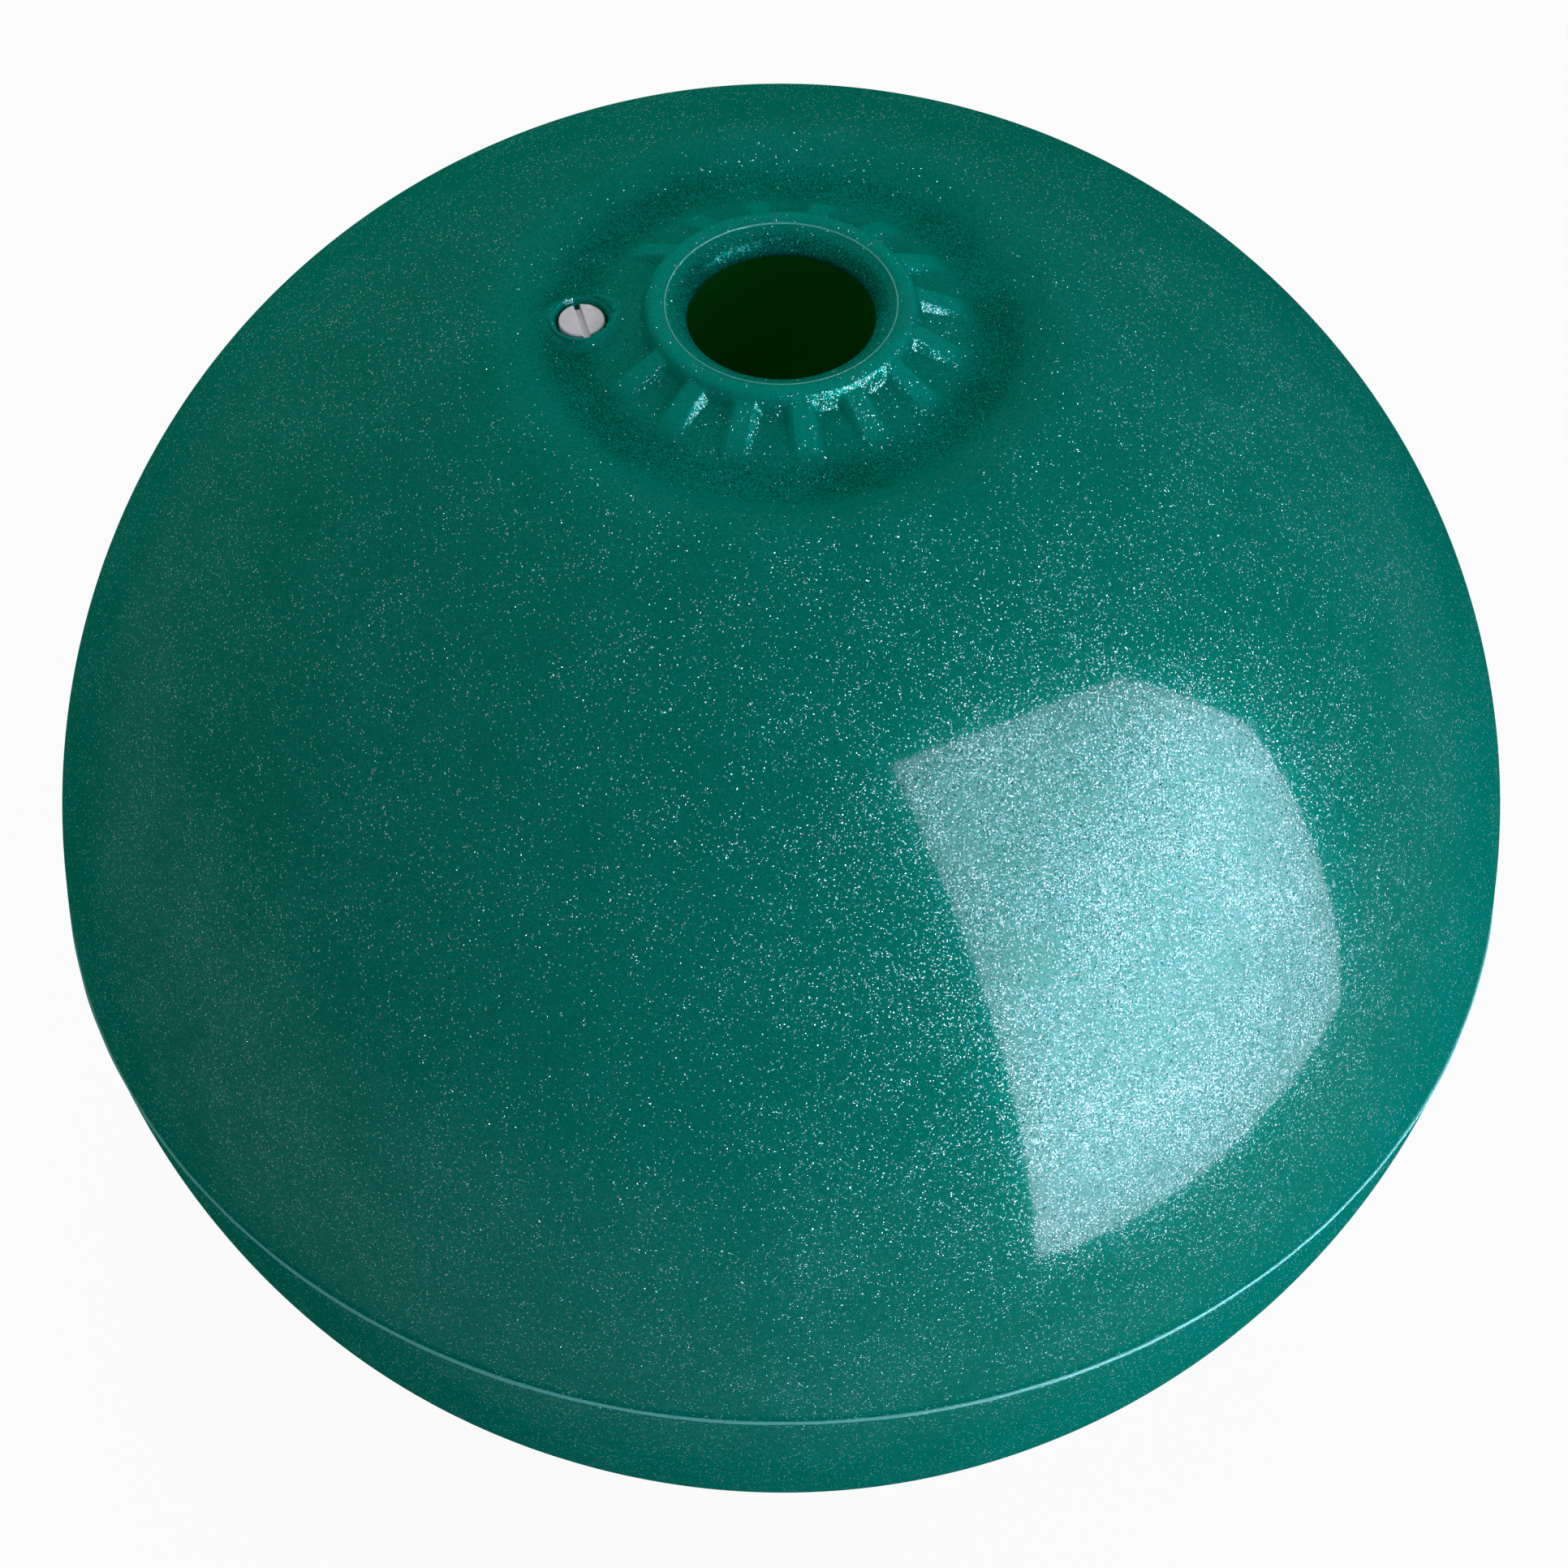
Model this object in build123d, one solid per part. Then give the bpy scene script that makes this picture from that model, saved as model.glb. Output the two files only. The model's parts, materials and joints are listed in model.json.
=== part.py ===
from build123d import *
import math
import os

# Inflatable centre-hole mooring buoy, in millimetres, +Z up along the hole.
# The origin is on the axis at the foot of the lower collar.

# Body: two moulded domes that meet in a faint crease at the parting plane.
buoy_diameter = 457.2
overall_length = 423.0
shell_wall = 3.6
bead_width = 1.4  # the raised parting line
bead_proud = 0.7
bead_root = 1.2
bead_chamfer = 0.4

# Centre tube that the mooring rod or chain runs through.
bore_radius = 26.0
tube_wall = 3.6
mouth_depth = 7.6  # bell mouth, from the collar's crown to the straight bore
mouth_flare = 5.8  # how far the bell mouth opens, to the crisp trimmed rim
rim_bevel = 1.0
rim_step = 0.8

# Collar round each mouth, outwards from the rim, and its height above the hub plate.
crown_width = 3.8
crown_edge_radius = 1.4
collar_batter = 2.0
collar_height = 5.5

# Hub plate that falls from the collar into a moat, and the flank up to the dome's shoulder.
plate_width = 17.9
moat_width = 6.0
moat_depth = 12.0  # from the crown down to the moat's floor
moat_fillet = 8.0
flank_width = 14.5
shoulder_depth = 6.2  # from the crown down to the dome's shoulder
shoulder_fillet = 14.0
hub_root_depth = 20.5  # from the crown down to the hub's underside at the tube
hub_plate = 4.6  # thickness under the moat

# Gussets that brace the collar, a triangle each in side view.
rib_count = 16
first_rib_angle = 8.0
rib_base_width = 8.2
rib_draft = 14.0
rib_top_drop = 1.6  # rib tops start this far below the crown
rib_tip_inset = 2.7  # rib tips end this far inside the moat

# Inflation valve: a round boss with a recessed, slotted screw plug.
valve_angle = 178.0
valve_offset = 16.3  # from the collar's foot to the valve's axis
boss_radius = 8.9
boss_height = 3.8  # lip above the hub plate
boss_lip_chamfer = 0.6
recess_radius = 7.1
recess_depth = 5.0
valve_length = 21.0
head_radius = 6.4
head_thickness = 2.9
head_dome = 0.5
slot_width = 2.4
slot_depth = 1.7
slot_angle = 105.8
washer_thickness = 1.2
shank_radius = 4.4
shank_length = 12.0
shank_chamfer = 0.8
running_clearance = 0.08

# Radii that follow from those above, outwards from the axis.
buoy_radius = buoy_diameter / 2
tube_radius = bore_radius + tube_wall
rim_radius = bore_radius + mouth_flare
crown_inner_radius = rim_radius + rim_bevel
crown_outer_radius = crown_inner_radius + crown_width
collar_foot_radius = crown_outer_radius + collar_batter
moat_inner_radius = collar_foot_radius + plate_width
moat_outer_radius = moat_inner_radius + moat_width
shoulder_radius = moat_outer_radius + flank_width
hub_split_radius = (moat_outer_radius + shoulder_radius) / 2  # hub and shell meet on the flank
rib_tip_radius = moat_inner_radius - rib_tip_inset
valve_centre_radius = collar_foot_radius + valve_offset

# Heights above the parting plane, downwards from the crown.
parting_height = overall_length / 2
crown_level = parting_height
rib_top_level = crown_level - rib_top_drop
collar_foot_level = crown_level - collar_height
shoulder_level = crown_level - shoulder_depth
mouth_level = crown_level - mouth_depth
moat_level = crown_level - moat_depth
under_moat_level = moat_level - hub_plate
hub_root_level = crown_level - hub_root_depth

# Each dome is part of a sphere through the widest circle and the shoulder. Its centre lies on the
# axis, a little beyond the parting plane, which makes the crease.
shoulder_reach = math.hypot(shoulder_radius, shoulder_level)
dome_centre_drop = (buoy_radius**2 - shoulder_reach**2) / (2 * shoulder_level)
dome_radius = math.hypot(buoy_radius, dome_centre_drop)
plate_slope = (collar_foot_level - moat_level) / plate_width
rib_pitch = 360 / rib_count


def plate_level(radius):
    """Height of the hub plate's sloping top, between the collar's foot and the moat."""
    return moat_level + plate_slope * (moat_inner_radius - radius)


def dome_arc(top_radius, inset):
    """Section of a dome from the parting plane up to a radius, on a surface set inside by inset."""
    radius = dome_radius - inset
    low = math.asin(dome_centre_drop / radius)
    high = math.acos(top_radius / radius)
    angles = (low, (low + high) / 2, high)
    points = [(radius * math.cos(a), radius * math.sin(a) - dome_centre_drop) for a in angles]
    return ThreePointArc(*points)


def mouth_arc():
    """Bell mouth: leaves the straight bore upright and opens out to the trimmed rim."""
    rise = mouth_depth - rim_step
    curve = (mouth_flare**2 + rise**2) / (2 * mouth_flare)
    return RadiusArc((rim_radius, crown_level - rim_step), (bore_radius, mouth_level), curve)


def wall_section():
    """The upper half's wall as one face, from the bell mouth over hub and dome to the parting plane."""
    outer = dome_arc(shoulder_radius, 0)
    inner = dome_arc(shoulder_radius + shell_wall, shell_wall)
    top = Polyline(
        outer @ 1,
        (moat_outer_radius, moat_level),
        (moat_inner_radius, moat_level),
        (collar_foot_radius, collar_foot_level),
        (crown_outer_radius, crown_level),
        (crown_inner_radius, crown_level),
        (rim_radius, crown_level - rim_step),
    )
    under = Polyline(
        (bore_radius, mouth_level),
        (tube_radius, mouth_level),
        (tube_radius, hub_root_level),
        (moat_outer_radius, under_moat_level),
        inner @ 1,
    )
    closing = Line(inner @ 0, outer @ 0)
    face = make_face(outer + top + mouth_arc() + under + inner + closing)
    rounding = [
        # radius, level, fillet
        (shoulder_radius, shoulder_level, shoulder_fillet),
        (moat_outer_radius, moat_level, moat_fillet),
        (moat_inner_radius, moat_level, moat_fillet),
        (crown_outer_radius, crown_level, crown_edge_radius),
    ]
    for radius, level, fillet_radius in rounding:
        corner = face.vertices().sort_by_distance((radius, level, 0))[0]
        face = fillet(corner, fillet_radius)
    return face


def band(low_radius, high_radius):
    """A tall strip of the section plane between two radii."""
    width = high_radius - low_radius
    return Pos(low_radius + width / 2, 0) * Rectangle(width, 2 * overall_length)


def turned(face):
    """A face drawn as radius and height, turned once round the buoy's axis."""
    return revolve(Plane.XZ * face, Axis.Z)


def shell():
    """One hollow dome with the rebate that the parting bead sits in."""
    section = wall_section() & band(hub_split_radius, buoy_diameter)
    rebate = Pos(buoy_radius, 0) * Rectangle(2 * bead_root, bead_width)
    return turned(section - rebate)


def rib():
    """One gusset along +X: drafted sides, under a cone that falls from the collar to the plate."""
    length = rib_tip_radius - tube_radius
    plan = Pos(tube_radius + length / 2, 0) * Rectangle(length, rib_base_width)
    upper = extrude(plan, moat_depth, taper=rib_draft)
    root = extrude(plan, -hub_plate)
    cone = make_face(
        Polyline(
            (tube_radius, under_moat_level),
            (tube_radius, rib_top_level),
            (crown_outer_radius, rib_top_level),
            (rib_tip_radius, plate_level(rib_tip_radius)),
            (rib_tip_radius, under_moat_level),
            close=True,
        )
    )
    return Pos(0, 0, moat_level) * (upper + root) & turned(cone)


def rib_angles(beside_valve):
    """Angles of the gussets. The two that would run into the valve's boss are left out beside it."""
    angles = [first_rib_angle + place * rib_pitch for place in range(rib_count)]
    if not beside_valve:
        return angles
    room = boss_radius + rib_base_width / 2
    kept = []
    for angle in angles:
        turn = math.radians(angle - valve_angle)
        aside = abs(valve_centre_radius * math.sin(turn))
        if math.cos(turn) < 0 or aside > room:
            kept.append(angle)
    return kept


def hub(beside_valve):
    """Collar, sloping plate and moat, with the gussets standing on the plate."""
    plate = turned(wall_section() & band(0, hub_split_radius))
    gusset = rib()
    for angle in rib_angles(beside_valve):
        plate += Rot(0, 0, angle) * gusset
    if beside_valve:
        plate -= valve_place() * Cylinder(boss_radius, overall_length)
    return plate


def valve_place():
    """Where the valve's axis meets the hub plate, measured from the parting plane."""
    turn = math.radians(valve_angle)
    x = valve_centre_radius * math.cos(turn)
    y = valve_centre_radius * math.sin(turn)
    return Pos(x, y, plate_level(valve_centre_radius))


def upright(face):
    """A face drawn as radius and height above the hub plate, turned round the valve's axis."""
    return valve_place() * revolve(Plane.XZ * face, Axis.Z)


def valve_seat():
    """Boss with a recess for the plug's head and a hole down into the air chamber."""
    floor = boss_height - recess_depth
    foot = boss_height - valve_length
    hole = shank_radius + running_clearance
    face = make_face(
        Polyline(
            (hole, foot),
            (boss_radius, foot),
            (boss_radius, boss_height),
            (recess_radius, boss_height),
            (recess_radius, floor),
            (hole, floor),
            close=True,
        )
    )
    lip = face.vertices().group_by(Axis.Y)[-1]
    return upright(chamfer(lip, boss_lip_chamfer))


def valve_washer():
    """Soft flat ring that the plug's head presses on the recess's floor."""
    floor = boss_height - recess_depth
    hole = shank_radius + running_clearance
    width = head_radius - hole
    ring = Pos(hole + width / 2, floor + washer_thickness / 2) * Rectangle(width, washer_thickness)
    return upright(ring)


def valve_plug():
    """Screw plug: a low domed head with a slot right across it, on a plain shank."""
    under_head = boss_height - recess_depth + washer_thickness
    head_edge = under_head + head_thickness
    tip = under_head - shank_length
    profile = Polyline(
        (0, tip),
        (shank_radius - shank_chamfer, tip),
        (shank_radius, tip + shank_chamfer),
        (shank_radius, under_head),
        (head_radius, under_head),
        (head_radius, head_edge - head_dome),
    )
    dome_curve = (head_radius**2 + head_dome**2) / (2 * head_dome)
    crown = RadiusArc((head_radius, head_edge - head_dome), (0, head_edge), -dome_curve)
    axis = Line((0, head_edge), (0, tip))
    plug = upright(make_face(profile + crown + axis))
    slot = Box(4 * head_radius, slot_width, 2 * slot_depth)
    return plug - valve_place() * Pos(0, 0, head_edge) * Rot(0, 0, slot_angle) * slot


def parting_bead():
    """Thin raised line left where the mould's halves met."""
    face = Rectangle(bead_root + bead_proud, bead_width)
    outer = face.vertices().group_by(Axis.X)[-1]
    middle = buoy_radius + (bead_proud - bead_root) / 2
    return turned(Pos(middle, 0) * chamfer(outer, bead_chamfer))


def centre_tube():
    """Straight tube between the two bell mouths."""
    face = Pos(bore_radius + tube_wall / 2, 0) * Rectangle(tube_wall, 2 * mouth_level)
    return turned(face)


def lower(piece):
    """The same piece on the far side of the parting plane."""
    return mirror(piece, Plane.XY)


pieces = {
    "shell_upper": shell(),
    "shell_lower": lower(shell()),
    "parting_bead": parting_bead(),
    "hub_upper": hub(beside_valve=True),
    "hub_lower": lower(hub(beside_valve=False)),
    "centre_tube": centre_tube(),
    "valve_seat": valve_seat(),
    "valve_washer": valve_washer(),
    "valve_plug": valve_plug(),
}

os.makedirs("parts", exist_ok=True)
for name, piece in pieces.items():
    export_step(Pos(0, 0, parting_height) * piece, f"parts/{name}.step")
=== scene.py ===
"""Looks of an inflatable centre-hole mooring buoy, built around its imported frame, in metres."""

import json
import math

import bpy
import numpy as np
from bpy.props import FloatProperty, FloatVectorProperty, IntProperty, PointerProperty
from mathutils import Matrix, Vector


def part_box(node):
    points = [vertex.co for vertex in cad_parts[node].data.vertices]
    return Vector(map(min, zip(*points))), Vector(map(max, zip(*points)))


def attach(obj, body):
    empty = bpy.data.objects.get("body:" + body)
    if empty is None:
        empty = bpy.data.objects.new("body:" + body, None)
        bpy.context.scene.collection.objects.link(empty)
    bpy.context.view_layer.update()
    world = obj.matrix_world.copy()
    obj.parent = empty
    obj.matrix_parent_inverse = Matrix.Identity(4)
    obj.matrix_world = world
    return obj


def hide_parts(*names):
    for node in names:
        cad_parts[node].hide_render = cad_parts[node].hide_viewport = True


bl_info = {
    "name": "Mooring buoy",
    "version": (1, 0, 0),
    "blender": (4, 5, 0),
    "location": "3D View > Sidebar > Buoy",
    "description": "Moulded vinyl skin, centre tube, parting bead and screw valve of a mooring buoy",
    "category": "Add Mesh",
}

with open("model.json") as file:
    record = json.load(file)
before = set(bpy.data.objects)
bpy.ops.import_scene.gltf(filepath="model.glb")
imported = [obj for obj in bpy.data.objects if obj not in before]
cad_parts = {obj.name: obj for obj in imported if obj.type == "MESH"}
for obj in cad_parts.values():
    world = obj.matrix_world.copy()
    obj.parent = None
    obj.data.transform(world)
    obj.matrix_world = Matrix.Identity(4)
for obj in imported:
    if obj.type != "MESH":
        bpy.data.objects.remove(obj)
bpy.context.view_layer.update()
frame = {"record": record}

# Sizes read from the frame: heights are above the floor, radii from the buoy's axis.
MOUNTS = {mount["name"]: mount for mount in frame["record"]["mounts"]}
BORE_RADIUS = MOUNTS["bore"]["dims"]["r_mm"] / 1000
CROWN_LEVEL = MOUNTS["crown_upper"]["pos_m"][2]
PARTING_LEVEL = CROWN_LEVEL / 2
TUBE_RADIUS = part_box("centre_tube")[1][0]
MOUTH_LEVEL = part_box("centre_tube")[1][2]
HUB_ROOT_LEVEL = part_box("hub_upper")[0][2]
SEAT_LOW, SEAT_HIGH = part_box("valve_seat")
PLUG_LOW, PLUG_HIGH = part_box("valve_plug")
WASHER_LOW, WASHER_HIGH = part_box("valve_washer")
BOSS_RADIUS = (SEAT_HIGH[0] - SEAT_LOW[0]) / 2
HEAD_RADIUS = (PLUG_HIGH[0] - PLUG_LOW[0]) / 2
VALVE_X = (SEAT_HIGH[0] + SEAT_LOW[0]) / 2
VALVE_Y = (SEAT_HIGH[1] + SEAT_LOW[1]) / 2
LIP_LEVEL = SEAT_HIGH[2]
UNDER_HEAD_LEVEL = WASHER_HIGH[2]
WASHER_FLOOR_LEVEL = WASHER_LOW[2]

# The skin's section, outwards from the bell mouth.
BUOY_RADIUS = 0.2286
WALL = 0.0036
RIM_RADIUS = 0.0318
RIM_DROP = 0.0008
THROAT_HEIGHT = 0.0024
BEVEL_WIDTH = 0.0011
TRIM_WIDTH = 0.00045
TRIM_HEIGHT = 0.0003
CROWN_OUTER = 0.0366
CROWN_ROUNDING = 0.0026
COLLAR_FOOT = 0.0386
COLLAR_HEIGHT = 0.0055
FOOT_ROUNDING = 0.0016
MOAT_INNER = 0.0565
MOAT_OUTER = 0.0625
MOAT_DEPTH = 0.012
MOAT_ROUNDING = 0.0155
SHOULDER_RADIUS = 0.077
SHOULDER_DEPTH = 0.0062
SHOULDER_END = 0.0835
HUB_PLATE = 0.0046
FINE_END = 0.088

# Gussets.
RIB_COUNT = 16
RIB_FIRST = math.radians(8.0)
RIB_TOP_DROP = 0.0016
RIB_TIP = 0.0538
RIB_HALF_TOP = 0.0026
RIB_HALF_BASE = 0.0047

# Valve.
RECESS_RADIUS = 0.0071
HOLE_RADIUS = 0.0045
THREAD_PITCH = 0.0025
THREAD_DEPTH = 0.0006
SHANK_RADIUS = 0.0044
SLOT_TURN = math.radians(105.8)
SLOT_HALF_WIDTH = 0.0009
SLOT_DEPTH = 0.0024
LIP_DROP = 0.0006


def smooth_step(values):
    """Zero below 0, one above 1, and between them 3t^2 - 2t^3."""
    t = np.clip(values, 0.0, 1.0)
    return t * t * (3 - 2 * t)


def rounded_ramp(values, corner):
    """A straight ramp from 0 at 0 to 1 at 1 whose two ends are rounded by hyperbolas of that width."""
    return 0.5 * (1 + np.sqrt(values**2 + corner**2) - np.sqrt((values - 1) ** 2 + corner**2))


def settings():
    """The buoy's settings on the current scene."""
    return bpy.context.scene.mooring_buoy


def put_mesh(name, points, faces):
    """A smooth mesh object from an array of points and a list of arrays of three- or four-cornered faces."""
    corners = np.concatenate([block.ravel() for block in faces]).astype(np.int32)
    counts = np.concatenate([np.full(len(block), block.shape[1]) for block in faces])
    starts = np.concatenate([[0], np.cumsum(counts)[:-1]]).astype(np.int32)
    mesh = bpy.data.meshes.new(name)
    mesh.vertices.add(len(points))
    mesh.vertices.foreach_set("co", points.astype(np.float32).ravel())
    mesh.loops.add(len(corners))
    mesh.loops.foreach_set("vertex_index", corners)
    mesh.polygons.add(len(counts))
    mesh.polygons.foreach_set("loop_start", starts)
    mesh.update(calc_edges=True)
    if mesh.validate():
        raise RuntimeError(f"{name} had broken faces")
    mesh.shade_smooth()
    piece = bpy.data.objects.new(name, mesh)
    bpy.context.scene.collection.objects.link(piece)
    return piece


def ring_quads(first, second, count):
    """Quads between two rings of count points, given the index of each ring's first point."""
    here = np.arange(count)
    after = (here + 1) % count
    return np.stack([first + here, second + here, second + after, first + after], 1)


def stitch_up(coarse, fine, count):
    """Triangles from a ring of count points to one of twice as many, whose even points face it."""
    here = np.arange(count)
    after = (here + 1) % count
    even, odd, following = 2 * here, 2 * here + 1, 2 * after
    return np.concatenate(
        [
            np.stack([coarse + here, fine + even, fine + odd], 1),
            np.stack([coarse + here, fine + odd, coarse + after], 1),
            np.stack([coarse + after, fine + odd, fine + following], 1),
        ]
    )


def rounded_path(corners, step):
    """Straight runs between corners (radius, height, rounding), each corner turned into a tangent arc.
    An arc begins at rounding * tan(half the turn) before its corner and is cut into short chords."""
    places = np.array([corner[:2] for corner in corners], float)
    path = [places[:1]]
    for index in range(1, len(corners) - 1):
        before, here, after = places[index - 1 : index + 2]
        rounding = corners[index][2]
        arrive = (here - before) / np.linalg.norm(here - before)
        leave = (after - here) / np.linalg.norm(after - here)
        turn = math.atan2(arrive[0] * leave[1] - arrive[1] * leave[0], arrive @ leave)
        if rounding == 0 or abs(turn) < 1e-6:
            path.append(here[None])
            continue
        reach = rounding * math.tan(abs(turn) / 2)
        side = math.copysign(1.0, turn)
        normal = np.array([-arrive[1], arrive[0]]) * side
        centre = here - arrive * reach + normal * rounding
        chords = max(3, math.ceil(rounding * abs(turn) / step))
        angles = np.linspace(0, turn, chords + 1)[:, None]
        spoke = -normal
        across = np.array([-spoke[1], spoke[0]])
        path.append(centre + rounding * (spoke * np.cos(angles) + across * np.sin(angles)))
    path.append(places[-1:])
    return np.concatenate(path)


def filled_path(path, longest):
    """The same path with its longer runs divided evenly so that none is longer than longest."""
    pieces = [path[:1]]
    for start, end in zip(path[:-1], path[1:]):
        parts = max(1, math.ceil(np.linalg.norm(end - start) / longest))
        shares = np.linspace(0, 1, parts + 1)[1:, None]
        pieces.append(start + (end - start) * shares)
    return np.concatenate(pieces)


def dome_sphere():
    """(centre height, radius) of the sphere through the widest circle and the shoulder."""
    shoulder = CROWN_LEVEL - SHOULDER_DEPTH - PARTING_LEVEL
    reach = math.hypot(SHOULDER_RADIUS, shoulder)
    drop = (BUOY_RADIUS**2 - reach**2) / (2 * shoulder)
    return PARTING_LEVEL - drop, math.hypot(BUOY_RADIUS, drop)


def dome_point(radius, inset=0.0):
    """Point of the dome's section at a radius, on a surface set inside by inset."""
    centre, sphere = dome_sphere()
    return np.array([radius, centre + math.sqrt((sphere - inset) ** 2 - radius**2)])


def moat_level():
    """Height of the moat's floor."""
    return CROWN_LEVEL - MOAT_DEPTH


def hub_path():
    """Section from the bell mouth over collar, plate, moat and shoulder on to the dome.
    The mouth is part of an ellipse, from a short upright throat out to a flat bevel at the rim. The
    shoulder's arc ends tangent to the dome: its corner is where the moat's outer flank meets the dome's
    tangent there."""
    rim_level = CROWN_LEVEL - RIM_DROP
    throat = np.array([(BORE_RADIUS, MOUTH_LEVEL), (BORE_RADIUS, MOUTH_LEVEL + THROAT_HEIGHT - 0.0004)])
    angles = np.linspace(math.radians(18), math.radians(80), 14)
    flare = (np.cos(angles[0]) - np.cos(angles)) / (np.cos(angles[0]) - np.cos(angles[-1]))
    lift = (np.sin(angles) - np.sin(angles[0])) / (np.sin(angles[-1]) - np.sin(angles[0]))
    low = MOUTH_LEVEL + THROAT_HEIGHT
    bevel = np.array([RIM_RADIUS - BEVEL_WIDTH, rim_level - BEVEL_WIDTH * 0.5])
    first = np.array([BORE_RADIUS + 0.0002, low])
    curve = first + (bevel - first) * np.stack([flare, lift], 1)
    mouth = np.concatenate([throat, curve])

    centre, sphere = dome_sphere()
    end = dome_point(SHOULDER_END)
    tangent = np.array([end[1] - centre, -end[0]]) / sphere
    foot = np.array([MOAT_OUTER, moat_level()])
    flank = np.array([SHOULDER_RADIUS, CROWN_LEVEL - SHOULDER_DEPTH]) - foot
    flank /= np.linalg.norm(flank)
    along = np.linalg.solve(np.stack([flank, tangent], 1), end - foot)
    corner = foot + flank * along[0]
    turn = math.acos(np.clip(flank @ tangent, -1, 1))
    shoulder_rounding = abs(along[1]) / math.tan(turn / 2)

    corners = [
        (RIM_RADIUS, rim_level, 0),
        (RIM_RADIUS + 0.0016, CROWN_LEVEL, 0.002),
        (CROWN_OUTER, CROWN_LEVEL, CROWN_ROUNDING),
        (COLLAR_FOOT, CROWN_LEVEL - COLLAR_HEIGHT, FOOT_ROUNDING),
        (MOAT_INNER, moat_level(), MOAT_ROUNDING),
        (MOAT_OUTER, moat_level(), MOAT_ROUNDING),
        (corner[0], corner[1], shoulder_rounding),
        (end[0], end[1], 0),
    ]
    collar = filled_path(rounded_path(corners, 0.0005)[1:], 0.0013)
    tail = np.array([dome_point(radius) for radius in np.linspace(SHOULDER_END, FINE_END, 5)[1:]])
    return np.concatenate([mouth, collar, tail])


def arc_down(start_radius, inset, rows):
    """Section of the dome from a radius down to the parting plane, evenly spaced by angle."""
    centre, sphere = dome_sphere()
    radius = sphere - inset
    high = math.acos(start_radius / radius)
    low = math.asin((PARTING_LEVEL - centre) / radius)
    angles = np.linspace(high, low, rows)
    return np.stack([radius * np.cos(angles), centre + radius * np.sin(angles)], 1)


def rib_angles(beside_valve):
    """Angles of the gussets; the two that would run into the valve's boss are left out beside it."""
    angles = RIB_FIRST + 2 * math.pi / RIB_COUNT * np.arange(RIB_COUNT)
    if not beside_valve:
        return angles
    valve = math.atan2(VALVE_Y, VALVE_X)
    aside = np.abs(math.hypot(VALVE_X, VALVE_Y) * np.sin(angles - valve))
    clear = aside > BOSS_RADIUS + RIB_HALF_BASE
    return angles[(np.cos(angles - valve) < 0) | clear]


def rib_rise(radius, angle, level, beside_valve):
    """How far the gussets stand above the hub at each point, and each point's share of a gusset's top.
    Lengthways a gusset's top falls from the collar to its tip on the plate, nearly straight, half a
    millimetre full in the middle. Crossways its share of that height is one on top and falls by a
    straight ramp with rounded ends over the drafted side."""
    plate_tip = moat_level() + (CROWN_LEVEL - COLLAR_HEIGHT - moat_level()) * (MOAT_INNER - RIB_TIP) / (
        MOAT_INNER - COLLAR_FOOT
    )
    start = CROWN_LEVEL - RIB_TOP_DROP
    share = (radius - CROWN_OUTER) / (RIB_TIP - CROWN_OUTER)
    top = start + (plate_tip - start) * share
    gap = top - level + 0.0005 * np.sin(math.pi * np.clip(share, 0, 1))
    soft = 0.0003
    height = 0.5 * (gap + np.sqrt(gap**2 + soft**2)) - 0.5 * soft
    height = np.maximum(height, 0)
    inside = smooth_step((radius - CROWN_OUTER + 0.0004) / 0.0006)
    top_share = np.zeros_like(radius)
    for rib in rib_angles(beside_valve):
        turn = angle - rib
        aside = np.abs(radius * np.sin(turn))
        near = np.cos(turn) > 0
        across = rounded_ramp((RIB_HALF_BASE - aside) / (RIB_HALF_BASE - RIB_HALF_TOP), 0.1)
        top_share = np.maximum(top_share, np.where(near, across, 0))
    return top_share * height * inside, top_share * smooth_step(height / 0.0016) * inside


def valve_pit(x, y, level):
    """Change of height round the valve: a low swelling outside the boss and a deep socket inside it."""
    away = np.hypot(x - VALVE_X, y - VALVE_Y)
    mound = 0.0027 * smooth_step((BOSS_RADIUS + 0.0042 - away) / 0.0044)
    socket = SEAT_LOW[2] - 0.001
    inner = away < BOSS_RADIUS - 0.0006
    return np.where(inner, socket - level, mound)


def valve_cup(x, y, level):
    """Change of height under the hub, which bulges down round the valve's socket."""
    away = np.hypot(x - VALVE_X, y - VALVE_Y)
    return (SEAT_LOW[2] - 0.003 - level) * smooth_step((BOSS_RADIUS + 0.0035 - away) / 0.0022)


def column_angles(columns):
    """Angles of the fine columns: within each gusset's pitch they crowd where its sides stand."""
    per_rib = columns // RIB_COUNT
    share = np.arange(per_rib) / per_rib - 0.5
    knots = [-0.5, -0.41, -0.12, 0.12, 0.41, 0.5]
    turns = np.radians([-11.25, -7.9, -2.6, 2.6, 7.9, 11.25])
    offsets = np.interp(share, knots, turns)
    centres = RIB_FIRST + 2 * math.pi / RIB_COUNT * np.arange(RIB_COUNT)
    return (centres[:, None] + offsets[None]).ravel()


def skin_points(path, angles):
    """Rings of points: each row of the section carried round the axis at its own row of angles."""
    radius = path[:, :1]
    return np.stack(
        [radius * np.cos(angles), radius * np.sin(angles), np.broadcast_to(path[:, 1:], angles.shape)], -1
    )


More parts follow.
